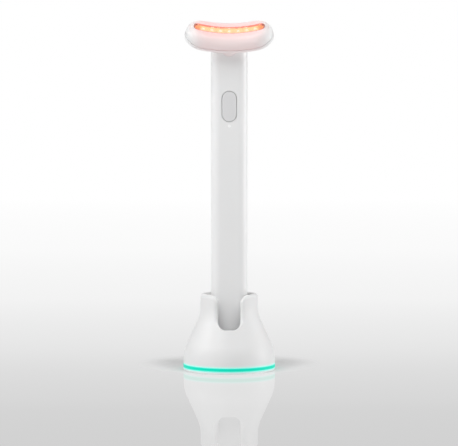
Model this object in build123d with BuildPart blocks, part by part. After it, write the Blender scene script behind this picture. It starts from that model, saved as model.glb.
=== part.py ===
# Light therapy wand standing in its charging dock. Millimetres, +X right, +Y back, +Z up.
# The origin is the centre of the dock's underside. The wand's face looks towards -Y and up.
# The wand is three bodies: a handle, a head that swivels on a slanted stem, and a push button.
# The dock is a bell-shaped housing round a socket with two sprung charging pins.

import os
from math import acos, atan2, cos, degrees, hypot, radians, sin, sqrt, tan

from build123d import *

os.makedirs("parts", exist_ok=True)

# Gaps that recur: seated pieces, guided pieces and pieces that drop in loosely.
seat_gap = 0.02
running_gap = 0.05
loose_gap = 0.2

# How far a cut runs past what it cuts, and the least difference that tells two levels apart.
cut_margin = 1.0
level_step = 0.01

# Dock, outside: ring, skirt and collar.
foot_proud = 0.4
foot_thickness = 1.0
foot_rim = 2.0
plate_thickness = 1.2
ring_height = 1.8
dock_radius = 22.9
shoulder_radius = 18.3
shoulder_level = 5.6
ring_proud = 0.1
rim_chamfer = 0.3
collar_radius = 14.4
collar_top = 38.4
collar_straight = 6.0
waist_arc = 18.8
dock_wall = 2.4
lip_outer_round = 1.5
lip_inner_chamfer = 0.5

# Dock, the notch at the front of the collar.
notch_width = 11.0
notch_floor = 21.35
notch_corner = 3.7
notch_flare = 4.2
notch_deepening = 1.2

# Dock, inside.
board_level = 5.3
dock_board_thickness = 1.0
dock_board_gap = 0.45
screw_count = 3
screw_turn = 30
screw_radius = 0.95
screw_head_radius = 1.9
screw_head_height = 1.2
screw_bite = 4.0
post_radius = 3.0
boss_radius = 2.2
boss_inset = 0.8
upstand_gap = 0.5
upstand_wall = 1.5
ring_lamp_count = 8
ring_lamp_height = 0.6
ring_lamp_size = 1.4
ballast_thickness = 2.8
ballast_gap = 0.6
liner_wall = 1.5
liner_flange = 1.5
liner_top = 20.5
pin_spacing = 8.0
pin_radius = 0.75
pin_length = 4.25
pin_tip_proud = 0.55
barrel_wall = 0.35
barrel_floor = 0.5
barrel_sink = 0.3
pin_block_width = 13.0
pin_block_depth = 6.0
pin_block_corner = 1.0
dock_chip_x = -11.5
dock_chip_y = -6.0

# Charging inlet at the back of the dock.
port_width = 8.94
port_height = 3.26
port_length = 7.3
port_wall = 0.3
port_slot_gap = 0.22
port_inset = 0.7
tongue_width = 6.7
tongue_thickness = 0.7
tongue_length = 4.6
port_back = 1.6

# Handle: a tube of rounded rectangular section.
handle_width = 18.2
handle_depth = 13.0
handle_corner = 4.5
handle_wall = 1.3
handle_bottom = 13.0
socket_clearance = 0.3
cap_thickness = 2.0
cap_spigot = 5.0
cap_chamfer = 0.6
cap_seal_height = 1.2
cap_seal_depth = 0.8
pad_recess = 0.6
pad_radius = 1.5
pad_thickness = 0.4
pad_stem_radius = 0.5
crown_round = 3.0

# Head: a curled pebble, tilted forward on the handle.
head_tilt = radians(40)
head_z = 169.2
head_width = 17.6
head_end_turn = radians(13.3)
face_radius = 52.0
head_thickness = 8.6
face_round = 4.4
back_round = 2.4
seam_depth = 6.0
seam_radius = 56.0
seam_gap = 0.25
face_wall = 1.5
head_side_wall = 2.2
head_back_wall = 1.5
seal_inset = 0.5
seal_width = 1.2

# Head, window and lamps.
window_length = 34.9
window_width = 5.3
gasket_width = 0.35
lens_recess = 0.2
lens_flange_width = 1.0
lens_flange_thickness = 0.6
reflector_height = 1.5
lamp_count = 7
lamp_pitch = 4.45
lamp_size = 1.7
lamp_height = 1.2
lamp_offset = 1.2
lamp_board_length = 36.0
lamp_board_width = 11.0
lamp_board_thickness = 0.8
board_seat_width = 1.4

# Swivel stem between head and handle.
stem_radius = 5.4
stem_wall = 2.0
crown_gap = 1.15
crown_wall = 5.05
stem_crossing = 0.757
stem_reach = 1.6
ring_seal_drop = 3.05
ring_seal_section = 1.0
washer_thickness = 0.4
washer_rim = 0.7
clip_thickness = 0.5
clip_depth = 0.6
clip_mouth = 5.0
lead_radius = 1.2
lead_reach = 1.6

# Button, indicator and switch.
button_drop = 37.4
button_width = 7.2
button_length = 15.0
button_gap = 0.22
button_lip = 0.8
button_flange = 0.6
button_post_radius = 1.5
button_chamfer = 0.2
press_travel = 0.35
switch_size = 5.2
switch_height = 1.4
plunger_radius = 1.0
plunger_length = 1.5
plunger_engaged = 0.7
plunger_spare = 0.15
indicator_drop = 9.7
indicator_radius = 0.55
indicator_flange = 1.2
indicator_flange_thickness = 0.5
indicator_lamp_height = 0.8
indicator_lamp_size = 1.6

# Handle, inside. The cell stands above the end cap, and the board fills the room left above it.
main_board_front = -1.8
main_board_thickness = 0.8
main_board_width = 12.6
main_board_gap = 2.0
main_board_corner = 1.0
frame_lift = 2.0
lead_gap = 1.04
frame_gap = 0.1
spine_thickness = 1.2
rail_inner = 5.3
rail_depth = 3.2
bulkhead_thickness = 2.0
battery_radius = 5.0
battery_length = 44.0
lower_pad_thickness = 5.7
upper_pad_thickness = 1.7
tab_thickness = 0.3
tab_radius = 3.6
motor_radius = 2.2
motor_length = 8.0
motor_drop = 20.0
motor_shaft_radius = 0.4
motor_shaft_reach = 5.0
weight_radius = 1.8
weight_length = 4.0
weight_lift = 0.4
saddle_width = 6.6
saddle_height = 3.0
saddle_short = 1.0
board_screw_radius = 0.7
board_screw_head = 1.3
board_screw_head_height = 0.7
board_screw_x = 4.4
board_screw_inset = 3.5
chip_size = 5.0
chip_height = 0.9
chip_lift = 9.0
chip_x = 2.8
charge_chip_size = 3.4
charge_chip_x = -3.0
socket_width = 6.0
socket_depth = 3.4
socket_height = 3.6
wire_radius = 0.4
wire_x = 6.1
wire_y = -3.0

# Levels and radii that follow from the sizes above.
plate_bottom = foot_proud
plate_top = plate_bottom + plate_thickness
ring_top = plate_top + ring_height
board_top = board_level + dock_board_thickness
post_floor = plate_bottom + foot_thickness - foot_proud + screw_head_height
foot_radius = dock_radius - foot_rim
notch_half = notch_width / 2
ring_lamp_turn = 180 / ring_lamp_count
barrel_radius = pin_radius + running_gap + barrel_wall
upstand_outer = dock_radius - dock_wall - upstand_gap
upstand_inner = upstand_outer - upstand_wall
liner_floor = handle_bottom
liner_bottom = liner_floor - liner_wall
boss_top = liner_top - liner_flange - loose_gap
front_wall = -handle_depth / 2
cavity_front = front_wall + handle_wall
tube_bottom = handle_bottom + cap_thickness
frame_bottom = tube_bottom + cap_spigot + frame_lift
crown_depth = head_thickness + crown_gap
crown_floor = crown_depth + crown_wall
stem_end = crown_floor + stem_reach
lead_end = stem_end + lead_reach
frame_top = head_z - lead_end * cos(head_tilt) - lead_radius * sin(head_tilt) - lead_gap - socket_height
battery_bottom = frame_bottom + bulkhead_thickness + lower_pad_thickness + tab_thickness
cell_top = battery_bottom + battery_length
rail_top = cell_top + tab_thickness + upper_pad_thickness + bulkhead_thickness
main_board_bottom = rail_top + main_board_gap
main_board_top = frame_top - bulkhead_thickness
board_screw_levels = (main_board_bottom + board_screw_inset, main_board_top - 2 * board_screw_inset)
button_level = head_z - button_drop
indicator_level = button_level - indicator_drop
motor_bottom = main_board_top - motor_drop
main_board_back = main_board_front + main_board_thickness
spine_back = main_board_back + spine_thickness
motor_y = spine_back + motor_radius
back_radius = face_radius + head_thickness
lens_back = face_radius + face_wall
reflector_top = lens_back + lens_flange_thickness
lamp_board_top = reflector_top + reflector_height
lamp_board_back = lamp_board_top + lamp_board_thickness
cavity_back_radius = back_radius - head_back_wall
head_length = 2 * (face_radius + head_thickness / 2) * sin(head_end_turn) + head_width * cos(head_end_turn)
head_cavity_length = head_length - 2 * head_side_wall
head_cavity_width = head_width - 2 * head_side_wall
lens_length = window_length - 2 * gasket_width
lens_width = window_width - 2 * gasket_width
seam_centre = seam_radius - seam_depth
head_root = head_back_wall / 2
stem_bore = stem_radius - stem_wall
stem_hole = stem_radius + running_gap
washer_radius = stem_radius + washer_rim
ring_seal_top = crown_depth + ring_seal_drop - ring_seal_section / 2
washer_top = crown_floor + running_gap
clip_top = washer_top + washer_thickness

# The stem's axis crosses the middle of the handle a little below the floor of its crown.
head_y = -(crown_floor + stem_crossing) * sin(head_tilt)

# Planes of the head: flat on its face, and across it along the curl.
face_normal = Vector(0, -sin(head_tilt), cos(head_tilt))
face_up = Vector(0, cos(head_tilt), sin(head_tilt))
head_origin = Vector(0, head_y, head_z)
head_plane = Plane(origin=head_origin, x_dir=(1, 0, 0), z_dir=face_normal)
curl_plane = Plane(origin=head_origin, x_dir=(1, 0, 0), z_dir=-face_up)
curl_centre = head_origin + face_normal * face_radius
curl_reach = head_width


def front_plane(y):
    """A plane facing forward at depth y, with its own x along +X and y along +Z."""
    return Plane(origin=(0, y, 0), x_dir=(1, 0, 0), z_dir=(0, -1, 0))


def level(z):
    """A horizontal plane at height z."""
    return Plane.XY.offset(z)


def save(part, name):
    """Label a finished piece and write it."""
    part.label = name
    export_step(part, f"parts/{name}.step")


def pin_pillars(radius, bottom, top):
    """Cylinders at the places of the charging pins, from one level to another."""
    with BuildPart() as pillars:
        with BuildSketch(level(bottom)):
            with GridLocations(pin_spacing, 1, 2, 1):
                Circle(radius)
        extrude(amount=top - bottom)
    return pillars.part


def board_pillars(radius, front, back):
    """Cylinders at the places of the main board's screws, from one depth to another."""
    with BuildPart() as pillars:
        with BuildSketch(front_plane(back)):
            for screw_level in board_screw_levels:
                with Locations((board_screw_x, screw_level)):
                    Circle(radius)
        extrude(amount=back - front)
    return pillars.part


def handle_prism(inset, bottom, top):
    """An upright prism of the handle's section, drawn in by an inset."""
    with BuildPart() as prism:
        with BuildSketch(level(bottom)):
            RectangleRounded(handle_width - 2 * inset, handle_depth - 2 * inset, handle_corner - inset)
        extrude(amount=top - bottom)
    return prism.part


def on_slant(depth, y):
    """Height at which the slanted plane at a depth below the face stands at y."""
    return head_z + ((y - head_y) * sin(head_tilt) - depth) / cos(head_tilt)


def slanted_prism(inset, depth):
    """The handle's section from the end cap up to a slant at a depth below the face."""
    reach = handle_depth / 2 - inset
    with BuildPart() as prism:
        add(handle_prism(inset, tube_bottom, head_z + head_width))
        with BuildSketch(Plane.YZ) as profile:
            Polygon(
                (-reach, tube_bottom),
                (reach, tube_bottom),
                (reach, on_slant(depth, reach)),
                (-reach, on_slant(depth, -reach)),
                align=None,
            )
            if inset == 0:
                fillet(profile.vertices().sort_by(Axis.Y)[-1], crown_round)
        extrude(amount=handle_width, both=True, mode=Mode.INTERSECT)
    return prism.part


def stem_ring(outer, inner, depth, thickness):
    """A flat ring round the stem's axis, from a depth below the face downwards."""
    with BuildPart() as ring:
        with BuildSketch(head_plane.offset(-depth - thickness)):
            Circle(outer)
            Circle(inner, mode=Mode.SUBTRACT)
        extrude(amount=thickness)
    return ring.part


# The bell outline is a vertical collar, a hollow waist, a straight skirt that touches the arcs at
# both its ends, and a round shoulder that meets the ring along a short upright foot.
waist_start = Vector(collar_radius, collar_top - collar_straight)
waist_centre = waist_start + Vector(waist_arc, 0)
shoulder_end = Vector(dock_radius, shoulder_level)
shoulder_centre = shoulder_end - Vector(shoulder_radius, 0)
centres = waist_centre - shoulder_centre
skirt_angle = atan2(centres.Y, centres.X) - acos((shoulder_radius + waist_arc) / hypot(centres.X, centres.Y))
skirt_normal = Vector(cos(skirt_angle), sin(skirt_angle))
shoulder_start = shoulder_centre + skirt_normal * shoulder_radius
waist_end = waist_centre - skirt_normal * waist_arc


def bell_radius_at(z):
    """The bell's outer radius at a height above its shoulder."""
    if z >= waist_start.Y:
        return collar_radius
    if z >= waist_end.Y:
        return collar_radius + waist_arc - sqrt(waist_arc**2 - (waist_start.Y - z) ** 2)
    return waist_end.X + (waist_end.Y - z) * tan(skirt_angle)


# The screw bosses run into the bell's wall at their tops.
screw_circle = bell_radius_at(boss_top) - dock_wall / cos(skirt_angle) - boss_inset


def screw_pillars(radius, bottom, top):
    """Cylinders at the places of the dock's screws, from one level to another."""
    with BuildPart() as pillars:
        with BuildSketch(level(bottom)):
            with PolarLocations(screw_circle, screw_count, start_angle=screw_turn):
                Circle(radius)
        extrude(amount=top - bottom)
    return pillars.part


def on_lip(edge):
    """True for the edges that run round the collar's rim and down the notch."""
    box = edge.bounding_box()
    rounded_floor = notch_floor + notch_deepening
    at_top = box.min.Z > collar_top - level_step
    at_floor = abs(box.max.Z - rounded_floor) < level_step
    in_notch = box.min.Z > rounded_floor - level_step and edge.center().Y < -collar_radius / 2
    climbs = box.size.Z > level_step
    across = box.size.Y > dock_wall / 2 and box.size.X < level_step and box.size.Z < level_step
    return not across and (at_top or (in_notch and (climbs or at_floor)))


def on_outside(edge):
    """True where an edge lies on the outer surface of the bell."""
    point = edge.position_at(0.5)
    return hypot(point.X, point.Y) > bell_radius_at(point.Z) - dock_wall / 2


def bell_inside(inset, bottom, top):
    """The room inside the bell at a distance from its skirt, from one level to another."""
    inner_waist = (waist_start.Y + waist_end.Y) / 2 - inset * tan(skirt_angle / 2)
    skirt_foot = shoulder_start - skirt_normal * inset
    with BuildPart() as solid:
        with BuildSketch(Plane.XZ):
            Polygon(
                (0, collar_top),
                (collar_radius - inset + lip_inner_chamfer, collar_top),
                (collar_radius - inset, collar_top - lip_inner_chamfer),
                (collar_radius - inset, inner_waist),
                (skirt_foot.X, skirt_foot.Y),
                (dock_radius - inset, board_top + loose_gap),
                (dock_radius - inset, ring_top),
                (0, ring_top),
                align=None,
            )
        revolve(axis=Axis.Z)
        with BuildSketch(level(bottom)):
            Circle(dock_radius)
        extrude(amount=top - bottom, mode=Mode.INTERSECT)
    return solid.part


def notch_prism(floor):
    """The flared opening at the front of the collar, down to a floor with round corners."""
    with BuildPart() as prism:
        with BuildSketch(front_plane(0)):
            with BuildLine():
                Line((0, floor), (notch_half - notch_corner, floor))
                RadiusArc((notch_half - notch_corner, floor), (notch_half, floor + notch_corner), -notch_corner)
                Line((notch_half, floor + notch_corner), (notch_half, collar_top - notch_flare))
                RadiusArc(
                    (notch_half, collar_top - notch_flare), (notch_half + notch_flare, collar_top), notch_flare
                )
                Line((notch_half + notch_flare, collar_top), (0, collar_top))
                Line((0, collar_top), (0, floor))
            make_face()
            mirror(about=Plane.YZ)
        extrude(amount=dock_radius)
    return prism.part


def curled_slab(length, width, top_radius, bottom_radius):
    """A slab of stadium outline that lies between two arcs round the head's curl axis."""
    with BuildPart() as slab:
        with BuildSketch(head_plane.offset(-head_width)):
            SlotOverall(length, width)
        extrude(amount=2 * head_width)
        with BuildSketch(curl_plane):
            with Locations((0, face_radius)):
                Circle(bottom_radius)
                Circle(top_radius, mode=Mode.SUBTRACT)
        extrude(amount=curl_reach, both=True, mode=Mode.INTERSECT)
    return slab.part


def curled_frame(length, width, rim, top_radius, bottom_radius):
    """A curled slab with a smaller stadium taken out of its middle."""
    with BuildPart() as frame:
        add(curled_slab(length, width, top_radius, bottom_radius))
        with BuildSketch(head_plane.offset(-head_width)):
            SlotOverall(length - 2 * rim, width - 2 * rim)
        extrude(amount=2 * head_width, mode=Mode.SUBTRACT)
    return frame.part


def outward(turn):
    """The direction away from the head's curl axis at a turn from the middle."""
    return Vector(1, 0, 0) * sin(turn) - face_normal * cos(turn)


def along(turn):
    """The direction along the head's curl at a turn from the middle."""
    return Vector(1, 0, 0) * cos(turn) + face_normal * sin(turn)


def lamp_plane(turn, radius, across):
    """A plane on an arc round the curl axis, facing the axis."""
    origin = curl_centre + face_up * across + outward(turn) * radius
    return Plane(origin=origin, x_dir=along(turn), z_dir=-outward(turn))


def section_plane(turn):
    """A plane across the head at a turn from the middle, with its origin on the face."""
    return Plane(origin=curl_centre + outward(turn) * face_radius, x_dir=face_up, z_dir=along(turn))


# Dock housing: a bell with a notched, round-lipped collar and three screw bosses inside.
# The notch is cut again after its rim is rounded, which leaves the edge of its floor crisp.
with BuildPart() as base_shell:
    with BuildSketch(Plane.XZ):
        with BuildLine():
            Line((0, collar_top), (collar_radius, collar_top))
            Line((collar_radius, collar_top), waist_start)
            RadiusArc(waist_start, waist_end, -waist_arc)
            Line(waist_end, shoulder_start)
            RadiusArc(shoulder_start, shoulder_end, shoulder_radius)
            Polyline(shoulder_end, (dock_radius, ring_top), (0, ring_top), (0, collar_top))
        make_face()
    revolve(axis=Axis.Z)
    add(bell_inside(dock_wall, ring_top, collar_top), mode=Mode.SUBTRACT)
    add(notch_prism(notch_floor + notch_deepening), mode=Mode.SUBTRACT)
    fillet(base_shell.edges().filter_by(on_lip).filter_by(on_outside), lip_outer_round)
    add(notch_prism(notch_floor), mode=Mode.SUBTRACT)
    add(screw_pillars(boss_radius, board_top, boss_top))
    add(
        screw_pillars(screw_radius + seat_gap, board_top, board_top + screw_bite + cut_margin),
        mode=Mode.SUBTRACT,
    )
    with BuildSketch(Plane.XZ):
        with Locations((0, board_top + port_height / 2)):
            SlotOverall(port_width + 2 * port_slot_gap, port_height + 2 * port_slot_gap)
    extrude(amount=-dock_radius, mode=Mode.SUBTRACT)
save(base_shell.part, "base_shell")

# Socket liner: the cup that the handle stands in. Its flange seats under the skirt.
with BuildPart() as socket_liner:
    add(bell_inside(dock_wall + seat_gap, liner_top - liner_flange, liner_top))
    add(handle_prism(-socket_clearance - liner_wall, liner_bottom, liner_top))
    add(handle_prism(-socket_clearance, liner_floor, liner_top), mode=Mode.SUBTRACT)
    add(screw_pillars(boss_radius + loose_gap, liner_top - liner_flange, liner_top), mode=Mode.SUBTRACT)
    add(pin_pillars(barrel_radius + seat_gap, liner_bottom, liner_floor), mode=Mode.SUBTRACT)
save(socket_liner.part, "socket_liner")

# Light ring: the glowing band, with an upstand that takes the light of the lamps above it.
with BuildPart() as light_ring:
    with BuildSketch(level(plate_top)):
        Circle(dock_radius + ring_proud)
        Circle(upstand_inner, mode=Mode.SUBTRACT)
    extrude(amount=ring_height)
    with BuildSketch(level(ring_top)):
        Circle(upstand_outer)
        Circle(upstand_inner, mode=Mode.SUBTRACT)
    extrude(amount=board_level - ring_lamp_height - ring_top)
save(light_ring.part, "light_ring")

# Bottom plate with three hollow posts that carry the board. The foot pad hides the screws.
with BuildPart() as base_plate:
    with BuildSketch(level(plate_bottom)):
        Circle(dock_radius)
    extrude(amount=plate_thickness)
    chamfer(base_plate.edges().group_by(Axis.Z)[0], rim_chamfer)
    add(screw_pillars(post_radius, plate_top, board_level))
    with BuildSketch(level(plate_bottom)):
        Circle(foot_radius + seat_gap)
    extrude(amount=foot_thickness - foot_proud, mode=Mode.SUBTRACT)
    add(screw_pillars(screw_head_radius + loose_gap, plate_bottom, post_floor), mode=Mode.SUBTRACT)
    add(screw_pillars(screw_radius + running_gap, plate_bottom, board_level), mode=Mode.SUBTRACT)
save(base_plate.part, "base_plate")

with BuildPart() as foot_pad:
    with BuildSketch():
        Circle(foot_radius)
    extrude(amount=foot_thickness)
save(foot_pad.part, "foot_pad")

with BuildPart() as ballast_weight:
    with BuildSketch(level(plate_top)):
        Circle(upstand_inner - ballast_gap)
    extrude(amount=ballast_thickness)
    add(screw_pillars(post_radius + loose_gap, plate_top, board_level), mode=Mode.SUBTRACT)
save(ballast_weight.part, "ballast_weight")

with BuildPart() as base_board:
    with BuildSketch(level(board_level)):
        Circle(dock_radius - dock_wall - dock_board_gap)
    extrude(amount=dock_board_thickness)
    add(screw_pillars(screw_radius + running_gap, board_level, board_top), mode=Mode.SUBTRACT)
save(base_board.part, "base_board")

with BuildPart() as base_screws:
    add(screw_pillars(screw_head_radius, post_floor - screw_head_height, post_floor))
    add(screw_pillars(screw_radius, post_floor, board_top + screw_bite))
save(base_screws.part, "base_screws")

with BuildPart() as ring_lamps:
    with BuildSketch(level(board_level - ring_lamp_height)):
        with PolarLocations((upstand_inner + upstand_outer) / 2, ring_lamp_count, start_angle=ring_lamp_turn):
            Rectangle(ring_lamp_size, ring_lamp_size)
    extrude(amount=ring_lamp_height)
save(ring_lamps.part, "ring_lamps")

with BuildPart() as charge_chip:
    with BuildSketch(level(board_top)):
        with Locations((dock_chip_x, dock_chip_y)):
            Rectangle(chip_size, chip_size)
    extrude(amount=chip_height)
save(charge_chip.part, "charge_chip")

# Charging inlet: a metal shell with a tongue, flush with the back of the dock.
port_mouth = sqrt(dock_radius**2 - (port_width / 2) ** 2) - port_inset
port_level = board_top + port_height / 2
port_plane = Plane(origin=(0, port_mouth, port_level), x_dir=(1, 0, 0), z_dir=(0, -1, 0))
port_floor = port_plane.offset(port_length - port_back)

with BuildPart() as port_shell:
    with BuildSketch(port_plane):
        SlotOverall(port_width, port_height)
    extrude(amount=port_length)
    with BuildSketch(port_plane):
        SlotOverall(port_width - 2 * port_wall, port_height - 2 * port_wall)
    extrude(amount=port_length, mode=Mode.SUBTRACT)
save(port_shell.part, "port_shell")

with BuildPart() as port_tongue:
    with BuildSketch(port_floor):
        SlotOverall(port_width - 2 * port_wall - seat_gap, port_height - 2 * port_wall - seat_gap)
    extrude(amount=port_back)
    with BuildSketch(port_floor):
        Rectangle(tongue_width, tongue_thickness)
    extrude(amount=-tongue_length)
save(port_tongue.part, "port_tongue")

# Sprung charging pins in their barrels, carried by a block on the board.
pin_top = liner_floor + pin_tip_proud
barrel_top = liner_floor - barrel_sink

with BuildPart() as pin_block:
    with BuildSketch(level(board_top)):
        RectangleRounded(pin_block_width, pin_block_depth, pin_block_corner)
    extrude(amount=liner_bottom - board_top)
    add(pin_pillars(barrel_radius + seat_gap, board_top, liner_bottom), mode=Mode.SUBTRACT)
save(pin_block.part, "pin_block")

with BuildPart() as pin_barrels:
    add(pin_pillars(barrel_radius, board_top, barrel_top))
    add(pin_pillars(pin_radius + running_gap, board_top + barrel_floor, barrel_top), mode=Mode.SUBTRACT)
save(pin_barrels.part, "pin_barrels")

with BuildPart() as charging_pins:
    add(pin_pillars(pin_radius, pin_top - pin_length, pin_top))
    chamfer(charging_pins.edges().group_by(Axis.Z)[-1], pin_radius / 2)
save(charging_pins.part, "charging_pins")

# Handle tube: rounded rectangular outside, cut off behind the head along the slant of the stem
# bearing. The stem hole breaks through the front wall, where the round stem shows as a chin.
with BuildPart() as handle_shell:
    add(slanted_prism(0, crown_depth))
    add(slanted_prism(handle_wall, crown_floor), mode=Mode.SUBTRACT)
    with BuildSketch(head_plane.offset(-crown_floor)):
        Circle(stem_hole)
    extrude(amount=crown_floor, mode=Mode.SUBTRACT)
    with BuildSketch(front_plane(cavity_front)):
        with Locations((0, button_level)):
            SlotOverall(button_length + 2 * button_gap, button_width + 2 * button_gap, rotation=90)
        with Locations((0, indicator_level)):
            Circle(indicator_radius + seat_gap)
    extrude(amount=handle_wall, mode=Mode.SUBTRACT)
save(handle_shell.part, "handle_shell")

# End cap: closes the tube, seals on its spigot and carries the two charging contacts.
spigot_inset = handle_wall + seat_gap
spigot_top = tube_bottom + cap_spigot
seal_bottom = tube_bottom + (cap_spigot - cap_seal_height) / 2
pad_bottom = handle_bottom + pad_recess

with BuildPart() as end_cap_seal:
    add(handle_prism(spigot_inset, seal_bottom, seal_bottom + cap_seal_height))
    add(
        handle_prism(spigot_inset + cap_seal_depth, seal_bottom, seal_bottom + cap_seal_height),
        mode=Mode.SUBTRACT,
    )
save(end_cap_seal.part, "end_cap_seal")

with BuildPart() as end_cap:
    add(handle_prism(0, handle_bottom, tube_bottom))
    chamfer(end_cap.edges().group_by(Axis.Z)[0], cap_chamfer)
    add(handle_prism(spigot_inset, tube_bottom, spigot_top))
    add(end_cap_seal.part, mode=Mode.SUBTRACT)
    add(pin_pillars(pad_radius + seat_gap, handle_bottom, pad_bottom + pad_thickness), mode=Mode.SUBTRACT)
    add(pin_pillars(pad_stem_radius + seat_gap, pad_bottom, spigot_top), mode=Mode.SUBTRACT)
save(end_cap.part, "end_cap")

with BuildPart() as contact_pads:
    add(pin_pillars(pad_radius, pad_bottom, pad_bottom + pad_thickness))
    add(pin_pillars(pad_stem_radius, pad_bottom + pad_thickness, spigot_top))
save(contact_pads.part, "contact_pads")

# Inner frame: two rails beside the cell, a spine behind the board and bulkheads that fit the tube.
bulkhead_inset = handle_wall + frame_gap
bulkhead_width = handle_width - 2 * bulkhead_inset
rail_width = bulkhead_width / 2 - rail_inner
middle_bulkhead = rail_top - bulkhead_thickness
saddle_length = motor_length - saddle_short

with BuildPart() as handle_frame:
    for bulkhead_bottom in (frame_bottom, middle_bulkhead, frame_top - bulkhead_thickness):
        add(handle_prism(bulkhead_inset, bulkhead_bottom, bulkhead_bottom + bulkhead_thickness))
    with BuildSketch(level(frame_bottom)):
        with GridLocations(2 * rail_inner + rail_width, 1, 2, 1):
            Rectangle(rail_width, rail_depth)
    extrude(amount=rail_top - frame_bottom)
    with BuildSketch(level(middle_bulkhead)):
        with Locations((0, main_board_back)):
            Rectangle(bulkhead_width, spine_thickness, align=(Align.CENTER, Align.MIN))
    extrude(amount=frame_top - middle_bulkhead)
    with BuildSketch(level(motor_bottom)):
        with Locations((0, spine_back)):
            Rectangle(saddle_width, saddle_height, align=(Align.CENTER, Align.MIN))
    extrude(amount=saddle_length)
    with BuildSketch(level(motor_bottom)):
        with Locations((0, motor_y)):
            Circle(motor_radius + seat_gap)
    extrude(amount=saddle_length, mode=Mode.SUBTRACT)
    with BuildSketch(level(frame_bottom)):
        with GridLocations(2 * wire_x, 1, 2, 1):
            with Locations((0, wire_y)):
                Circle(wire_radius + running_gap)
    extrude(amount=rail_top - frame_bottom, mode=Mode.SUBTRACT)
    add(board_pillars(board_screw_radius + seat_gap, main_board_back, spine_back), mode=Mode.SUBTRACT)
save(handle_frame.part, "handle_frame")

with BuildPart() as battery_cell:
    with BuildSketch(level(battery_bottom)):
        Circle(battery_radius)
    extrude(amount=battery_length)
    chamfer(battery_cell.edges().filter_by(GeomType.CIRCLE), rim_chamfer)
save(battery_cell.part, "battery_cell")

with BuildPart() as battery_tabs:
    with BuildSketch(level(battery_bottom - tab_thickness)):
        Circle(tab_radius)
    extrude(amount=tab_thickness)
    with BuildSketch(level(cell_top)):
        Circle(tab_radius)
    extrude(amount=tab_thickness)
save(battery_tabs.part, "battery_tabs")

with BuildPart() as cell_pads:
    with BuildSketch(level(frame_bottom + bulkhead_thickness)):
        Circle(tab_radius)
    extrude(amount=lower_pad_thickness)
    with BuildSketch(level(cell_top + tab_thickness)):
        Circle(tab_radius)
    extrude(amount=upper_pad_thickness)
save(cell_pads.part, "cell_pads")

with BuildPart() as main_board:
    with BuildSketch(front_plane(main_board_back)):
        with Locations((0, (main_board_bottom + main_board_top) / 2)):
            RectangleRounded(main_board_width, main_board_top - main_board_bottom, main_board_corner)
    extrude(amount=main_board_thickness)
    add(board_pillars(board_screw_radius + seat_gap, main_board_front, main_board_back), mode=Mode.SUBTRACT)
save(main_board.part, "main_board")

with BuildPart() as board_screws:
    add(board_pillars(board_screw_radius, main_board_front, spine_back))
    add(board_pillars(board_screw_head, main_board_front - board_screw_head_height, main_board_front))
save(board_screws.part, "board_screws")

with BuildPart() as control_chips:
    with BuildSketch(front_plane(main_board_front)):
        with Locations((chip_x, main_board_bottom + chip_lift)):
            Rectangle(chip_size, chip_size)
        with Locations((charge_chip_x, main_board_bottom + chip_lift)):
            Rectangle(charge_chip_size, charge_chip_size)
    extrude(amount=chip_height)
save(control_chips.part, "control_chips")

with BuildPart() as charge_leads:
    with BuildSketch(level(spigot_top)):
        with GridLocations(2 * wire_x, 1, 2, 1):
            with Locations((0, wire_y)):
                Circle(wire_radius)
    extrude(amount=main_board_bottom - spigot_top)
save(charge_leads.part, "charge_leads")

with BuildPart() as lead_socket:
    with BuildSketch(level(frame_top)):
        with Locations((0, spine_back + socket_depth / 2)):
            Rectangle(socket_width, socket_depth)
    extrude(amount=socket_height)
save(lead_socket.part, "lead_socket")

# Switch and button: the cap lies flush in the front wall and rests on the switch's plunger.
switch_front = main_board_front - switch_height
post_front = cavity_front + running_gap
post_back = post_front + button_flange
plunger_front = switch_front + plunger_engaged - plunger_length
switch_floor = switch_front + plunger_engaged + press_travel + plunger_spare

with BuildPart() as tact_switch:
    with BuildSketch(front_plane(main_board_front)):
        with Locations((0, button_level)):
            Rectangle(switch_size, switch_size)
    extrude(amount=switch_height)
    with BuildSketch(front_plane(switch_floor)):
        with Locations((0, button_level)):
            Circle(plunger_radius + running_gap)
    extrude(amount=switch_floor - switch_front, mode=Mode.SUBTRACT)
save(tact_switch.part, "tact_switch")

with BuildPart() as switch_plunger:
    with BuildSketch(front_plane(plunger_front)):
        with Locations((0, button_level)):
            Circle(plunger_radius)
    extrude(amount=-plunger_length)
save(switch_plunger.part, "switch_plunger")

with BuildPart() as power_button:
    with BuildSketch(front_plane(post_front)):
        with Locations((0, button_level)):
            SlotOverall(button_length, button_width, rotation=90)
    extrude(amount=post_front - front_wall)
    chamfer(power_button.faces().sort_by(Axis.Y)[0].edges(), button_chamfer)
    with BuildSketch(front_plane(post_back)):
        with Locations((0, button_level)):
            SlotOverall(button_length + 2 * button_lip, button_width + 2 * button_lip, rotation=90)
    extrude(amount=button_flange)
    with BuildSketch(front_plane(plunger_front)):
        with Locations((0, button_level)):
            Circle(button_post_radius)
    extrude(amount=plunger_front - post_back)
save(power_button.part, "power_button")

# Indicator: a light pipe through the wall and the lamp behind it.
pipe_back = main_board_front - indicator_lamp_height - loose_gap
with BuildPart() as indicator_lens:
    with BuildSketch(front_plane(pipe_back)):
        with Locations((0, indicator_level)):
            Circle(indicator_radius)
    extrude(amount=pipe_back - front_wall)
    with BuildSketch(front_plane(cavity_front + indicator_flange_thickness)):
        with Locations((0, indicator_level)):
            Circle(indicator_flange)
    extrude(amount=indicator_flange_thickness)
save(indicator_lens.part, "indicator_lens")

with BuildPart() as indicator_lamp:
    with BuildSketch(front_plane(main_board_front)):
        with Locations((0, indicator_level)):
            Rectangle(indicator_lamp_size, indicator_lamp_size)
    extrude(amount=indicator_lamp_height)
save(indicator_lamp.part, "indicator_lamp")

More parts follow.
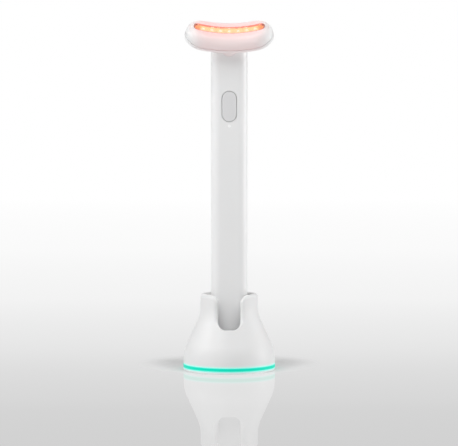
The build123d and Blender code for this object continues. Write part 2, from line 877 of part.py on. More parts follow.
# Vibration motor: a can in its saddle, and a shaft with an eccentric weight.
motor_top = motor_bottom + motor_length
with BuildPart() as motor_case:
    with BuildSketch(level(motor_bottom)):
        with Locations((0, motor_y)):
            Circle(motor_radius)
    extrude(amount=motor_length)
    with BuildSketch(level(motor_bottom + motor_length / 2)):
        with Locations((0, motor_y)):
            Circle(motor_shaft_radius + seat_gap)
    extrude(amount=motor_length / 2, mode=Mode.SUBTRACT)
save(motor_case.part, "motor_case")

with BuildPart() as motor_shaft:
    with BuildSketch(level(motor_bottom + motor_length / 2 + running_gap)):
        with Locations((0, motor_y)):
            Circle(motor_shaft_radius)
    extrude(amount=motor_length / 2 - running_gap + motor_shaft_reach)
save(motor_shaft.part, "motor_shaft")

with BuildPart() as motor_weight:
    with BuildSketch(level(motor_top + weight_lift)):
        with Locations((0, motor_y)):
            Circle(weight_radius)
            Rectangle(2 * weight_radius, weight_radius, align=(Align.CENTER, Align.MAX), mode=Mode.SUBTRACT)
            Circle(2 * motor_shaft_radius)
            Circle(motor_shaft_radius, mode=Mode.SUBTRACT)
    extrude(amount=weight_length)
save(motor_weight.part, "motor_weight")

# Head housing: one curled pebble, parted along an arc flatter than the face.
half_width = head_width / 2
with BuildPart() as head_blank:
    with BuildSketch(section_plane(-head_end_turn)) as middle_section:
        Polygon(
            (-half_width, 0), (half_width, 0), (half_width, -head_thickness), (-half_width, -head_thickness),
            align=None,
        )
        fillet(middle_section.vertices().group_by(Axis.Y)[-1], face_round)
        fillet(middle_section.vertices().group_by(Axis.Y)[0], back_round)
    revolve(axis=Axis(curl_centre, -face_up), revolution_arc=2 * degrees(head_end_turn))
    for side in (-1, 1):
        end_plane = section_plane(side * head_end_turn)
        with BuildSketch(end_plane) as end_section:
            Polygon((0, 0), (half_width, 0), (half_width, -head_thickness), (0, -head_thickness), align=None)
            fillet(end_section.vertices().group_by(Axis.X)[-1].sort_by(Axis.Y)[-1], face_round)
            fillet(end_section.vertices().group_by(Axis.X)[-1].sort_by(Axis.Y)[0], back_round)
        revolve(axis=Axis(end_plane.origin, outward(side * head_end_turn) * side), revolution_arc=180)

head_cavity = curled_slab(head_cavity_length, head_cavity_width, lens_back, cavity_back_radius)
window_hole = curled_slab(window_length, window_width, face_radius - cut_margin, lens_back + cut_margin)

with BuildPart() as head_front_shell:
    add(head_blank.part)
    add(head_cavity, mode=Mode.SUBTRACT)
    add(window_hole, mode=Mode.SUBTRACT)
    with BuildSketch(curl_plane):
        with Locations((0, seam_centre)):
            Circle(seam_radius - seam_gap / 2)
    extrude(amount=curl_reach, both=True, mode=Mode.INTERSECT)
save(head_front_shell.part, "head_front_shell")

board_seat = curled_frame(
    lamp_board_length, lamp_board_width, board_seat_width, lamp_board_back, cavity_back_radius + head_root
)
with BuildPart() as head_back_shell:
    add(head_blank.part)
    add(head_cavity, mode=Mode.SUBTRACT)
    with BuildSketch(curl_plane):
        with Locations((0, seam_centre)):
            Circle(seam_radius + seam_gap / 2)
    extrude(amount=curl_reach, both=True, mode=Mode.SUBTRACT)
    add(board_seat)
    with BuildSketch(head_plane.offset(-stem_end)):
        Circle(stem_radius)
    extrude(amount=stem_end - head_thickness + head_root)
    with BuildSketch(head_plane.offset(-stem_end)):
        Circle(stem_bore)
    extrude(amount=stem_end - head_thickness + 2 * head_back_wall, mode=Mode.SUBTRACT)
    add(
        stem_ring(stem_radius, stem_radius - ring_seal_section, ring_seal_top, ring_seal_section),
        mode=Mode.SUBTRACT,
    )
    add(stem_ring(stem_radius, stem_radius - clip_depth, clip_top, clip_thickness), mode=Mode.SUBTRACT)
save(head_back_shell.part, "head_back_shell")

# The seal lies in the seam between the two shells.
with BuildPart() as head_seal:
    with BuildSketch(head_plane.offset(-head_width)):
        SlotOverall(head_length - 2 * seal_inset, head_width - 2 * seal_inset)
        SlotOverall(
            head_length - 2 * seal_inset - 2 * seal_width, head_width - 2 * seal_inset - 2 * seal_width,
            mode=Mode.SUBTRACT,
        )
    extrude(amount=2 * head_width)
    with BuildSketch(curl_plane):
        with Locations((0, seam_centre)):
            Circle(seam_radius + seam_gap / 2)
            Circle(seam_radius - seam_gap / 2, mode=Mode.SUBTRACT)
    extrude(amount=curl_reach, both=True, mode=Mode.INTERSECT)
save(head_seal.part, "head_seal")

# Window: gasket and lens in the face, reflector, lamps and their curled board behind.
save(curled_frame(window_length, window_width, gasket_width, face_radius, lens_back), "window_gasket")

lens_flange = curled_slab(
    lens_length + 2 * lens_flange_width, lens_width + 2 * lens_flange_width, lens_back, reflector_top
)
lens_front = curled_slab(lens_length, lens_width, face_radius + lens_recess, lens_back)
with BuildPart() as window_lens:
    add(lens_front)
    add(lens_flange)
save(window_lens.part, "window_lens")

save(
    curled_frame(
        lens_length + 2 * lens_flange_width, window_width + 2 * lens_flange_width, lens_flange_width,
        reflector_top, lamp_board_top,
    ),
    "light_reflector",
)
save(curled_slab(lamp_board_length, lamp_board_width, lamp_board_top, lamp_board_back), "lamp_board")

# The lamps are flat underneath, so their corners rest on the curled board.
lamp_seat = sqrt(lamp_board_top**2 - (lamp_size / 2) ** 2)
with BuildPart() as red_lamps:
    for lamp in range(lamp_count):
        turn = (lamp - (lamp_count - 1) / 2) * lamp_pitch / lamp_board_top
        with BuildSketch(lamp_plane(turn, lamp_seat, lamp_offset)):
            Rectangle(lamp_size, lamp_size)
        extrude(amount=lamp_height)
save(red_lamps.part, "red_lamps")

# Stem fittings: sealing ring, washer, open retaining clip and the lead through the bore.
save(stem_ring(stem_radius, stem_radius - ring_seal_section, ring_seal_top, ring_seal_section), "stem_seal")
save(stem_ring(washer_radius, stem_hole, washer_top, washer_thickness), "stem_washer")

with BuildPart() as stem_clip:
    add(stem_ring(washer_radius, stem_radius - clip_depth, clip_top, clip_thickness))
    with BuildSketch(head_plane.offset(-clip_top - clip_thickness)):
        with Locations((0, washer_radius)):
            Rectangle(clip_mouth, 2 * washer_radius - stem_radius)
    extrude(amount=clip_thickness, mode=Mode.SUBTRACT)
save(stem_clip.part, "stem_clip")

with BuildPart() as head_lead:
    with BuildSketch(head_plane.offset(-lead_end)):
        Circle(lead_radius)
    extrude(amount=lead_end - (lamp_board_back - face_radius))
save(head_lead.part, "head_lead")
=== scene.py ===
# Looks of the light therapy wand in its charging dock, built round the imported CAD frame.
# Metres, +X right, +Y back, +Z up. The origin is the centre of the dock's underside.

import math

import bmesh
import bpy
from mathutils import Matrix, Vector

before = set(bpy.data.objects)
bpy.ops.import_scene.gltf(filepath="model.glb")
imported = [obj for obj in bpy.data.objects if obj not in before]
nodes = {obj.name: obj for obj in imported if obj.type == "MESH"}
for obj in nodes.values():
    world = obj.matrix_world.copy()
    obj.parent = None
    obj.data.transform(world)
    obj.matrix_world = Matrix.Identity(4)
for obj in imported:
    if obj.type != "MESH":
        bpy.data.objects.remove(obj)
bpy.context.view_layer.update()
scene = bpy.context.scene

MM = 0.001

# Sizes and places from the CAD that the head's materials need.
HEAD_TILT = math.radians(40)
HEAD_ORIGIN = Vector((0, -10.0, 169.2)) * MM
FACE_RADIUS = 52.0 * MM
LAMP_COUNT = 7
LAMP_PITCH = 4.45 * MM
LAMP_BOARD_RADIUS = 55.6 * MM
LAMP_OFFSET = 1.2 * MM
WINDOW_HALF_LENGTH = 17.45 * MM
WINDOW_HALF_WIDTH = 2.65 * MM

# Camera, as in the photograph: 0.9 m in front of the wand and a little above its middle.
CAMERA_DISTANCE = 0.900
CAMERA_HEIGHT = 0.112
CAMERA_SIDE = -0.00013
CAMERA_PITCH = math.radians(2.434)
CLIP_NEAR = 0.01
CLIP_FAR = 60.0
PICTURE_WIDTH = 458
FOCAL_PIXELS = 1800
SENSOR_WIDTH = 36.0


def make_camera():
    """The camera, looking slightly down along +Y."""
    data = bpy.data.cameras.new("camera")
    data.sensor_width = SENSOR_WIDTH
    data.lens = FOCAL_PIXELS / PICTURE_WIDTH * SENSOR_WIDTH
    data.clip_start = CLIP_NEAR
    data.clip_end = CLIP_FAR
    camera = bpy.data.objects.new("camera", data)
    camera.location = (CAMERA_SIDE, -CAMERA_DISTANCE, CAMERA_HEIGHT)
    camera.rotation_euler = (math.pi / 2 - CAMERA_PITCH, 0, 0)
    scene.collection.objects.link(camera)
    scene.camera = camera


# Sockets of the Mix node for colours. Those for numbers bear the same names.
MIX_AMOUNT = 0
MIX_FIRST = 6
MIX_SECOND = 7
MIX_RESULT = 2


class Tree:
    """A node tree, with short calls to add and join nodes."""

    def __init__(self, owner, output):
        """Clear the tree of a material or world, and give it an output node."""
        owner.use_nodes = True
        self.owner = owner
        self.nodes = owner.node_tree.nodes
        self.links = owner.node_tree.links
        self.nodes.clear()
        self.output = self.nodes.new(output)

    def add(self, kind, inputs=None, **settings):
        """A new node, with its settings and its sockets set or linked."""
        node = self.nodes.new(kind)
        for key, value in settings.items():
            setattr(node, key, value)
        for key, value in (inputs or {}).items():
            self.feed(node.inputs[key], value)
        return node

    def feed(self, socket, value):
        """Link a socket to another one, or set its value."""
        if isinstance(value, bpy.types.NodeSocket):
            self.links.new(value, socket)
        elif socket.type == "RGBA":
            socket.default_value = (*value, 1)
        else:
            socket.default_value = value

    def math(self, operation, *values):
        """One arithmetic step on numbers or sockets."""
        return self.add("ShaderNodeMath", dict(enumerate(values)), operation=operation).outputs[0]

    def fade(self, value, start, end):
        """A smooth step of a number from 0 at start to 1 at end."""
        inputs = {"Value": value, "From Min": start, "From Max": end}
        return self.add("ShaderNodeMapRange", inputs, interpolation_type="SMOOTHSTEP").outputs["Result"]

    def blend(self, amount, first, second):
        """A mix of two colours."""
        inputs = {MIX_AMOUNT: amount, MIX_FIRST: first, MIX_SECOND: second}
        return self.add("ShaderNodeMix", inputs, data_type="RGBA").outputs[MIX_RESULT]

    def place(self):
        """The point's place in the part's own frame, which moves with the piece."""
        return self.add("ShaderNodeTexCoord").outputs["Object"]

    def split(self, vector):
        """The three parts of a vector."""
        return tuple(self.add("ShaderNodeSeparateXYZ", {0: vector}).outputs)

    def height(self):
        """The point's height in the part's own frame."""
        return self.split(self.place())[2]

    def noise(self, size, detail=2.0):
        """Soft noise with features of about the given size in metres."""
        inputs = {"Vector": self.place(), "Scale": 1 / size, "Detail": detail}
        return self.add("ShaderNodeTexNoise", inputs).outputs["Fac"]

    def clouded(self, colour, cloud, dip):
        """A colour that noise darkens by up to a share."""
        darker = tuple(channel * (1 - dip) for channel in colour)
        return self.blend(cloud, colour, darker)

    def gloss(self, noise, least, spread):
        """A roughness from the least one up to it plus the spread."""
        return self.math("MULTIPLY_ADD", noise, spread, least)

    def bump(self, height, depth):
        """Surface relief from a height of 0 to 1, with its depth in metres."""
        inputs = {"Height": height, "Distance": depth, "Strength": 1.0}
        return self.add("ShaderNodeBump", inputs).outputs["Normal"]

    def surface(self, shader):
        """Use a shader node as the surface, and return the material or world."""
        self.links.new(shader.outputs[0], self.output.inputs["Surface"])
        return self.owner

    def principled(self, inputs):
        """Use a principled shader as the surface."""
        return self.surface(self.add("ShaderNodeBsdfPrincipled", inputs))


def material_tree(name):
    """The node tree of a new material."""
    return Tree(bpy.data.materials.new(name), "ShaderNodeOutputMaterial")


def linear(level):
    """The linear value of a screen level from 0 to 1, by the sRGB curve."""
    if level <= 0.04045:
        return level / 12.92
    return ((level + 0.055) / 1.055) ** 2.4


def srgb(*levels):
    """A colour given as it looks on screen, 0 to 255."""
    return tuple(linear(level / 255) for level in levels)


# White plastic: its colour, its faint clouds, its fine grain and the broad change in its gloss.
WHITE = srgb(240, 240, 240)
CLOUD_SIZE = 22 * MM
CLOUD_DIP = 0.03
GRAIN_SIZE = 0.35 * MM
GRAIN_DETAIL = 3.0
GRAIN_DEPTH = 0.004 * MM
GRAIN_GLOSS = 0.05
BROAD_SIZE = 14 * MM
BROAD_GLOSS = 0.03
PLASTIC_IOR = 1.49


def moulded(tree, colour, roughness=0.36, coat=0.12, emission=(1, 1, 1), glow=0.0):
    """Glossy moulded plastic: fine grain in its gloss and relief, under a thin clear skin."""
    fine = tree.noise(GRAIN_SIZE, GRAIN_DETAIL)
    broad = tree.math("MULTIPLY", tree.noise(BROAD_SIZE), BROAD_GLOSS)
    grainy = tree.gloss(fine, least=roughness, spread=GRAIN_GLOSS)
    return tree.principled(
        {
            "Base Color": colour,
            "Roughness": tree.math("ADD", grainy, broad),
            "Normal": tree.bump(fine, GRAIN_DEPTH),
            "Coat Weight": coat,
            "Coat Roughness": 0.12,
            "IOR": PLASTIC_IOR,
            "Subsurface Weight": 0.12,
            "Subsurface Scale": 0.002,
            "Subsurface Radius": (1.0, 0.9, 0.85),
            "Emission Color": emission,
            "Emission Strength": glow,
        }
    )


def white_plastic(name, colour):
    """White glossy plastic with faint clouds."""
    tree = material_tree(name)
    return moulded(tree, tree.clouded(colour, tree.noise(CLOUD_SIZE), CLOUD_DIP))


# The light ring, and its light painted into the edges of the white plastic above and below it as a pale
# green tint and glow.
# Here and below, a pair of distances says where an effect begins and where it is full.
RING_DEEP = srgb(4, 222, 190)
RING_PALE = srgb(110, 250, 228)
RING_BOTTOM = 1.6 * MM
RING_TOP = 3.4 * MM
RING_EDGE = (0.35 * MM, 0.95 * MM)
RING_GRAIN = 1.2 * MM
RING_DIP = 0.04
HALO_TINT = srgb(200, 252, 246)
HALO_TINT_REACH = (0.75 * MM, 0.25 * MM)
HALO_LIGHT = (0.0, 1.0, 0.82)
HALO_LIGHT_REACH = (1.4 * MM, 0.1 * MM)
HALO_LEVEL = 0.08


def dock_plastic():
    """White plastic with the ring's light painted on it: a pale green tint and glow close to the light
    ring.
    """
    tree = material_tree("dock_white")
    height = tree.height()
    above = tree.math("SUBTRACT", height, RING_TOP)
    below = tree.math("SUBTRACT", RING_BOTTOM, height)
    gap = tree.math("MAXIMUM", above, below)
    white = tree.clouded(WHITE, tree.noise(CLOUD_SIZE), CLOUD_DIP)
    # Painted light: the ring's light on the plastic, as a pale green tint in its colour and a faint green
    # glow.
    white_with_painted_ring_light = tree.blend(tree.fade(gap, *HALO_TINT_REACH), white, HALO_TINT)
    glow = tree.math("MULTIPLY", tree.fade(gap, *HALO_LIGHT_REACH), HALO_LEVEL)
    return moulded(tree, white_with_painted_ring_light, roughness=0.44, coat=0.05, emission=HALO_LIGHT, glow=glow)


def ring_material():
    """The light guide: a green glow, paler towards its edges."""
    tree = material_tree("ring_glow")
    fine = tree.noise(RING_GRAIN)
    offset = tree.math("SUBTRACT", tree.height(), (RING_TOP + RING_BOTTOM) / 2)
    edge = tree.fade(tree.math("ABSOLUTE", offset), *RING_EDGE)
    glow = tree.blend(edge, tree.clouded(RING_DEEP, fine, RING_DIP), RING_PALE)
    return tree.principled(
        {
            "Base Color": glow,
            "Roughness": tree.gloss(fine, least=0.35, spread=0.08),
            "Emission Color": glow,
            "Emission Strength": 0.19,
            "Specular IOR Level": 0.12,
        }
    )


def head_place(tree):
    """The point's place on the head: along it, up its face and out from the face."""
    inputs = {"Vector": tree.place(), "Location": HEAD_ORIGIN, "Rotation": (HEAD_TILT, 0, 0)}
    return tree.split(tree.add("ShaderNodeMapping", inputs, vector_type="TEXTURE").outputs[0])


def hypotenuse(tree, first, second):
    """The root of two squares' sum."""
    squares = tree.math("ADD", tree.math("POWER", first, 2.0), tree.math("POWER", second, 2.0))
    return tree.math("SQRT", squares)


def window_distance(tree):
    """Distance from the window's edge along the face, in metres, negative inside it."""
    along, up, _ = head_place(tree)
    straight = WINDOW_HALF_LENGTH - WINDOW_HALF_WIDTH
    past_end = tree.math("SUBTRACT", tree.math("ABSOLUTE", along), straight)
    past_end = tree.math("MAXIMUM", past_end, 0.0)
    return tree.math("SUBTRACT", hypotenuse(tree, past_end, up), WINDOW_HALF_WIDTH)


# Painted light: the red light from inside the head is painted onto its white plastic, as a red glow and as
# a pink tint in its colour.
HEAD_GLOW = (1.0, 0.05, 0.04)
HEAD_GLOW_ENDS = (21.0 * MM, 11.0 * MM)
HEAD_GLOW_REACH = (5.5 * MM, 0.5 * MM)
HEAD_RED_LIGHT_TINT = srgb(230, 219, 218)
HEAD_RED_LIGHT_TINT_REACH = (7.0 * MM, 1.5 * MM)


def head_plastic(name, close, broad, tint):
    """White plastic with painted red light: a faint red glow, broadly in the middle and more so close to
    the window, and a pink tint near the window.
    """
    tree = material_tree(name)
    along, _, _ = head_place(tree)
    middle = tree.fade(tree.math("ABSOLUTE", along), *HEAD_GLOW_ENDS)
    near = tree.fade(window_distance(tree), *HEAD_GLOW_REACH)
    glow = tree.math("MULTIPLY", tree.math("MULTIPLY_ADD", near, close, broad), middle)
    # Painted light: a pink tint in the colour near the window, for the red light that shows through the
    # plastic.
    warm = tree.math("MULTIPLY", tree.fade(window_distance(tree), *HEAD_RED_LIGHT_TINT_REACH), middle)
    white = tree.clouded(WHITE, tree.noise(CLOUD_SIZE), CLOUD_DIP)
    colour = tree.blend(tree.math("MULTIPLY", warm, tint), white, HEAD_RED_LIGHT_TINT)
    return moulded(tree, colour, emission=HEAD_GLOW, glow=glow)


# Distances from the head's middle between which the rim's painted lamp light turns it from brown to red.
RIM_ENDS = (17.2 * MM, 15.4 * MM)


def gasket_material():
    """The window's rim with painted lamp light: a thin red glow along its sides, brown at its two ends."""
    tree = material_tree("window_rim")
    along, _, _ = head_place(tree)
    side = tree.fade(tree.math("ABSOLUTE", along), *RIM_ENDS)
    return tree.principled(
        {
            "Base Color": tree.blend(side, srgb(90, 60, 54), srgb(170, 60, 50)),
            "Roughness": 0.5,
            "Emission Color": tree.blend(side, srgb(165, 104, 90), srgb(250, 150, 134)),
            "Emission Strength": 0.8,
            "Normal": tree.bump(tree.noise(size=0.3 * MM), depth=0.003 * MM),
        }
    )


def lens_material():
    """Clear warm lens."""
    tree = material_tree("window_lens")
    return tree.principled(
        {
            "Base Color": srgb(255, 250, 246),
            "Roughness": tree.gloss(tree.noise(size=1.5 * MM), least=0.12, spread=0.03),
            "IOR": PLASTIC_IOR,
            "Specular IOR Level": 0.3,
            "Transmission Weight": 1.0,
        }
    )


# The light behind the window, painted on the parts there: between the lamps, at its two ends, round each
# lamp and on it.
GLOW_MIDDLE = srgb(234, 219, 165)
GLOW_END = srgb(246, 144, 86)
GLOW_NEAR = srgb(242, 230, 174)
GLOW_SPOT = srgb(255, 252, 240)
END_REACH = (13.0 * MM, 16.0 * MM)
NEAR_REACH = (2.1 * MM, 0.9 * MM)
SPOT_REACH = (1.0 * MM, 0.2 * MM)


def lamp_glow(tree):
    """The painted light behind the window: pale orange, deeper at the ends, near white round each lamp."""
    along, up, out = head_place(tree)
    depth = tree.math("SUBTRACT", FACE_RADIUS, out)
    turn = tree.math("ARCTAN2", along, depth)
    pitch = tree.math("MULTIPLY", turn, LAMP_BOARD_RADIUS / LAMP_PITCH)
    last = (LAMP_COUNT - 1) / 2
    lamp = tree.math("MAXIMUM", tree.math("MINIMUM", tree.math("ROUND", pitch), last), -last)
    across = tree.math("MULTIPLY", tree.math("SUBTRACT", pitch, lamp), LAMP_PITCH)
    rise = tree.math("SUBTRACT", up, LAMP_OFFSET)
    far = hypotenuse(tree, across, rise)
    end = tree.fade(tree.math("ABSOLUTE", along), *END_REACH)
    field = tree.blend(end, GLOW_MIDDLE, GLOW_END)
    field = tree.blend(tree.fade(far, *NEAR_REACH), field, GLOW_NEAR)
    return tree.blend(tree.fade(far, *SPOT_REACH), field, GLOW_SPOT)


def lit_part(name, base, metallic, roughness, share):
    """A part inside the window, with the lamps' light painted on it as a glow."""
    tree = material_tree(name)
    return tree.principled(
        {
            "Base Color": base,
            "Metallic": metallic,
            "Roughness": tree.gloss(tree.noise(size=1.0 * MM), least=roughness, spread=0.1),
            "Emission Color": lamp_glow(tree),
            "Emission Strength": share,
        }
    )


# Clouds, grain and change of gloss of all parts that are seldom seen.
SIMPLE_CLOUD_SIZE = 4 * MM
SIMPLE_DETAIL = 3.0
SIMPLE_DIP = 0.1
SIMPLE_GRAIN = 0.4 * MM
SIMPLE_GLOSS = 0.15


def simple(name, colour, roughness, metallic=0.0, relief=0.003, glow=(1, 1, 1), strength=0.0):
    """A part that is seldom seen: its colour with faint clouds, its gloss and its relief in millimetres."""
    tree = material_tree(name)
    fine = tree.noise(SIMPLE_GRAIN)
    cloud = tree.noise(SIMPLE_CLOUD_SIZE, SIMPLE_DETAIL)
    return tree.principled(
        {
            "Base Color": tree.clouded(colour, cloud, SIMPLE_DIP),
            "Metallic": metallic,
            "Roughness": tree.gloss(fine, least=roughness, spread=SIMPLE_GLOSS),
            "Normal": tree.bump(fine, relief * MM),
            "Emission Color": glow,
            "Emission Strength": strength,
        }
    )


def dress_nodes():
    """Materials of all CAD nodes."""
    dock = dock_plastic()
    # Painted light: the handle is the dock's white plastic made lighter, so that it doesn't render too
    # dark.
    handle = white_plastic("handle_white", srgb(247, 247, 247))
    button = white_plastic("button_white", srgb(231, 231, 232))
    liner = white_plastic("liner_white", srgb(214, 214, 216))
    board = simple("board_green", srgb(20, 96, 62), 0.35, relief=0.006)
    steel = simple("steel", srgb(176, 177, 180), 0.3, metallic=1.0)
    nickel = simple("nickel", srgb(205, 204, 200), 0.2, metallic=1.0)
    gold = simple("gold", srgb(226, 184, 96), 0.22, metallic=1.0)
    black = simple("black_plastic", srgb(26, 26, 28), 0.5)
    grey = simple("inner_plastic", srgb(176, 178, 180), 0.45)
    rubber = simple("seal_rubber", srgb(34, 34, 36), 0.75, relief=0.01)
    # Painted light: the foot pad glows faintly, which lightens the shade under the dock's edge.
    foot_painted_glow = srgb(205, 235, 230)
    foot = simple("silicone_white", srgb(236, 236, 236), 0.7, relief=0.01, glow=foot_painted_glow, strength=0.25)
    green_lamp = simple("lamp_green", srgb(120, 240, 215), 0.3, glow=RING_DEEP, strength=0.8)
    white_lamp = simple("lamp_white", srgb(240, 240, 225), 0.3, strength=0.9)
    indicator = simple("indicator_white", srgb(250, 250, 250), 0.3, strength=0.35)
    wrap = simple("cell_wrap", srgb(60, 118, 176), 0.35)
    wire = simple("wire_red", srgb(170, 34, 28), 0.4)
    trough = lit_part("lamp_trough", srgb(190, 120, 80), metallic=1.0, roughness=0.3, share=0.9)
    lamp_board = lit_part("lamp_board", srgb(120, 80, 55), metallic=0.0, roughness=0.4, share=0.85)
    lamp_case = lit_part("lamp_case", srgb(130, 100, 75), metallic=0.0, roughness=0.3, share=0.9)
    head_front = head_plastic("head_front_white", close=0.13, broad=0.12, tint=1.0)
    head_back = head_plastic("head_back_white", close=0.0, broad=0.08, tint=0.0)
    finishes = {
        "base_shell": dock,
        "base_plate": dock,
        "light_ring": ring_material(),
        "socket_liner": liner,
        "foot_pad": foot,
        "ballast_weight": steel,
        "base_board": board,
        "base_screws": steel,
        "ring_lamps": green_lamp,
        "charge_chip": black,
        "port_shell": nickel,
        "port_tongue": black,
        "pin_block": black,
        "pin_barrels": gold,
        "charging_pins": gold,
        "handle_shell": handle,
        "end_cap": handle,
        "end_cap_seal": rubber,
        "contact_pads": gold,
        "handle_frame": grey,
        "battery_cell": wrap,
        "battery_tabs": nickel,
        "cell_pads": rubber,
        "main_board": board,
        "board_screws": steel,
        "control_chips": black,
        "charge_leads": wire,
        "lead_socket": grey,
        "tact_switch": black,
        "indicator_lens": indicator,
        "indicator_lamp": white_lamp,
        "motor_case": nickel,
        "power_button": button,
        "switch_plunger": black,
        "motor_shaft": steel,
        "motor_weight": steel,
        "head_front_shell": head_front,
        "head_back_shell": head_back,
        "head_seal": simple("seal_grey", srgb(112, 108, 108), 0.6),
        "window_gasket": gasket_material(),
        "window_lens": lens_material(),
        "light_reflector": trough,
        "lamp_board": lamp_board,
        "red_lamps": lamp_case,
        "stem_seal": rubber,
        "stem_washer": grey,
        "stem_clip": steel,
        "head_lead": wire,
    }
    for node, material in finishes.items():
        slots = nodes[node].data.materials
        slots.clear()
        slots.append(material)


# Stage: a glossy floor, grey in front of the dock and white far away, under a white sky.
FLOOR_HALF = 14.0
FLOOR_CELLS = 4

# The floor's grey pool. Its tones on screen stand beside their distance from its middle.
POOL_CENTRE = (0.0, -0.30)
POOL_SQUEEZE = 0.35
POOL_TONES = (
    (0.00, 207),
    (0.08, 209.5),
    (0.13, 211),
    (0.165, 212.5),
    (0.195, 215.5),
    (0.23, 217.5),
    (0.30, 222),
    (0.385, 229),
    (0.44, 232),
    (0.72, 243),
    (1.35, 250),
    (3.20, 255),
)
POOL_REACH = 3.2

# Light on the floor by the dock, as a share of the light under which a colour shows as written.
FLOOR_LIGHT = 0.90

# The floor takes shadow up to the second distance, and mirrors up to the first one.
SHADOW_CENTRE = (0.0, 0.025)
SHADOW_FADE = (0.028, 0.050)
MIRROR_CENTRE = (0.0, 0.0)
MIRROR_SHARE = 0.19
MIRROR_FADE = (0.60, 0.26)

# The sky's soft light. For gloss the sky turns white between these sines of elevation.
WORLD_LIGHT = 0.33
SKY_FADE = (0.25, 0.60)


def floor_tone(tree, place):
    """The floor's tone as it should look, by the distance from the middle of its grey pool."""
    moved = tree.add("ShaderNodeVectorMath", {0: place, 1: (*POOL_CENTRE, 0)}, operation="SUBTRACT")
    shape = {0: moved.outputs[0], 1: (POOL_SQUEEZE, 1, 1)}
    shaped = tree.add("ShaderNodeVectorMath", shape, operation="MULTIPLY")
    distance = tree.add("ShaderNodeVectorMath", {0: shaped.outputs[0]}, operation="LENGTH").outputs["Value"]
    ramp = tree.add("ShaderNodeValToRGB", {"Fac": tree.math("DIVIDE", distance, POOL_REACH)})
    ramp.color_ramp.interpolation = "LINEAR"
    marks = ramp.color_ramp.elements
    while len(marks) < len(POOL_TONES):
        marks.new(0.5)
    for mark, (reach, tone) in zip(marks, POOL_TONES):
        mark.position = reach / POOL_REACH
        mark.color = (*srgb(tone, tone, tone), 1)
    return ramp.outputs["Color"]


def distance_fade(tree, place, point, start, end):
    """A smooth step of the distance on the floor from a point."""
    inputs = {0: place, 1: (*point, 0)}
    node = tree.add("ShaderNodeVectorMath", inputs, operation="DISTANCE")
    return tree.fade(node.outputs["Value"], start, end)


def make_floor():
    """A wide floor that takes the dock's shadow and mirrors it, but not the soft boxes."""
    mesh = bpy.data.meshes.new("floor")
    maker = bmesh.new()
    bmesh.ops.create_grid(maker, x_segments=FLOOR_CELLS, y_segments=FLOOR_CELLS, size=FLOOR_HALF)
    maker.to_mesh(mesh)
    maker.free()
    floor = bpy.data.objects.new("floor", mesh)
    scene.collection.objects.link(floor)
    tree = material_tree("floor")
    place = tree.place()
    share = tree.math("MULTIPLY", distance_fade(tree, place, MIRROR_CENTRE, *MIRROR_FADE), MIRROR_SHARE)
    mirror = tree.add("ShaderNodeBsdfGlossy", {"Color": share, "Roughness": 0.0})
    returned = tree.math("MULTIPLY", share, WORLD_LIGHT)
    own = tree.add("ShaderNodeVectorMath", {0: floor_tone(tree, place), 1: returned}, operation="SUBTRACT")
    scale = {0: own.outputs[0], "Scale": 1 / FLOOR_LIGHT}
    lit = tree.add("ShaderNodeVectorMath", scale, operation="SCALE")
    matte = tree.add("ShaderNodeBsdfDiffuse", {"Color": lit.outputs[0]})
    steady = tree.add("ShaderNodeEmission", {"Color": own.outputs[0], "Strength": 1.0})
    far = distance_fade(tree, place, SHADOW_CENTRE, *SHADOW_FADE)
    plain = tree.add("ShaderNodeMixShader", {0: far, 1: matte.outputs[0], 2: steady.outputs[0]})
    both = tree.add("ShaderNodeAddShader", {0: plain.outputs[0], 1: mirror.outputs[0]})
    mesh.materials.append(tree.surface(both))
    return floor


def make_world():
    """White for the eye, for glass and for gloss that looks up, and a softer light for all else."""
    world = bpy.data.worlds.new("studio")
    scene.world = world
    tree = Tree(world, "ShaderNodeOutputWorld")
    ray = tree.add("ShaderNodeLightPath").outputs
    rise = tree.split(tree.add("ShaderNodeTexCoord").outputs["Generated"])[2]
    glossy = tree.math("MULTIPLY", tree.fade(rise, *SKY_FADE), ray["Is Glossy Ray"])
    direct = tree.math("MAXIMUM", ray["Is Camera Ray"], ray["Is Transmission Ray"])
    seen = tree.add("ShaderNodeBackground", {"Color": (1, 1, 1), "Strength": 1.0})
    soft = tree.add("ShaderNodeBackground", {"Color": (1, 1, 1), "Strength": WORLD_LIGHT})
    amount = tree.math("MAXIMUM", direct, glossy)
    tree.surface(tree.add("ShaderNodeMixShader", {0: amount, 1: soft.outputs[0], 2: seen.outputs[0]}))


# Where the soft boxes aim, how far off they stand, and their two sizes.
LIGHT_AIM = Vector((0, 0, 0.09))
LIGHT_REACH = 0.90
BOX = (0.3, 0.35)
TALL_BOX = (0.3, 0.65)


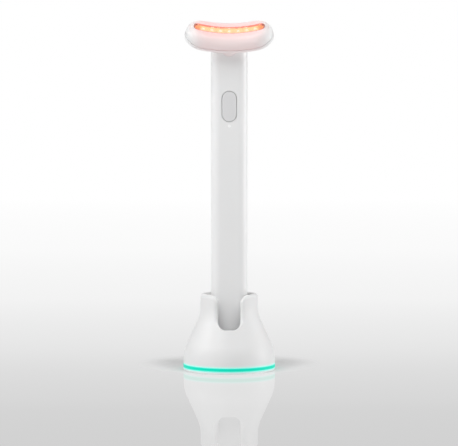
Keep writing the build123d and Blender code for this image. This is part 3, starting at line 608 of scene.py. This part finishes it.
def light_group(name, floor, state):
    """A light linking group that takes in or leaves out the floor."""
    group = bpy.data.collections.new(name)
    group.objects.link(floor)
    group.collection_objects[0].light_linking.link_state = state
    return group


def soft_box(name, azimuth, elevation, size, level, group, mirrored):
    """A soft box that faces the wand, at an azimuth from the camera's side and an elevation."""
    turn = math.radians(azimuth)
    rise = math.radians(elevation)
    away = Vector((math.sin(turn) * math.cos(rise), -math.cos(turn) * math.cos(rise), math.sin(rise)))
    data = bpy.data.lights.new(name, "AREA")
    data.shape = "RECTANGLE"
    data.size, data.size_y = size
    data.energy = level * size[0] * size[1] * math.pi
    light = bpy.data.objects.new(name, data)
    light.location = LIGHT_AIM + away * LIGHT_REACH
    light.rotation_euler = (-away).to_track_quat("-Z", "Y").to_euler()
    light.visible_camera = False
    light.visible_glossy = mirrored
    light.light_linking.receiver_collection = group
    scene.collection.objects.link(light)


# Name, azimuth, elevation, size and level of the soft boxes that light the object.
SOFT_BOXES = (
    ("box_left", -78, 26, BOX, 7.3),
    ("box_left_above", -34, 53, TALL_BOX, 3.8),
    ("box_right_above", 34, 53, TALL_BOX, 2.65),
    ("box_right", 92, 2, BOX, 7.6),
    ("box_right_rear", 112, 26, BOX, 1.6),
)

# The same of the soft boxes that light the floor alone. Its mirror doesn't show them.
FLOOR_BOXES = (
    ("floor_left", -44, 32, BOX, 7.5),
    ("floor_right", 44, 32, BOX, 7.5),
    ("floor_left_above", -34, 53, TALL_BOX, 2.4),
    ("floor_right_above", 34, 53, TALL_BOX, 2.4),
)


def make_lights(floor):
    """Soft boxes for the object, and others that cast the floor's shadow to both sides of the dock."""
    on_object = light_group("light_on_object", floor, "EXCLUDE")
    on_floor = light_group("light_on_floor", floor, "INCLUDE")
    for name, *settings in SOFT_BOXES:
        soft_box(name, *settings, on_object, True)
    for name, *settings in FLOOR_BOXES:
        soft_box(name, *settings, on_floor, False)


make_camera()
dress_nodes()
floor = make_floor()
make_world()
make_lights(floor)
scene.view_settings.view_transform = "Standard"
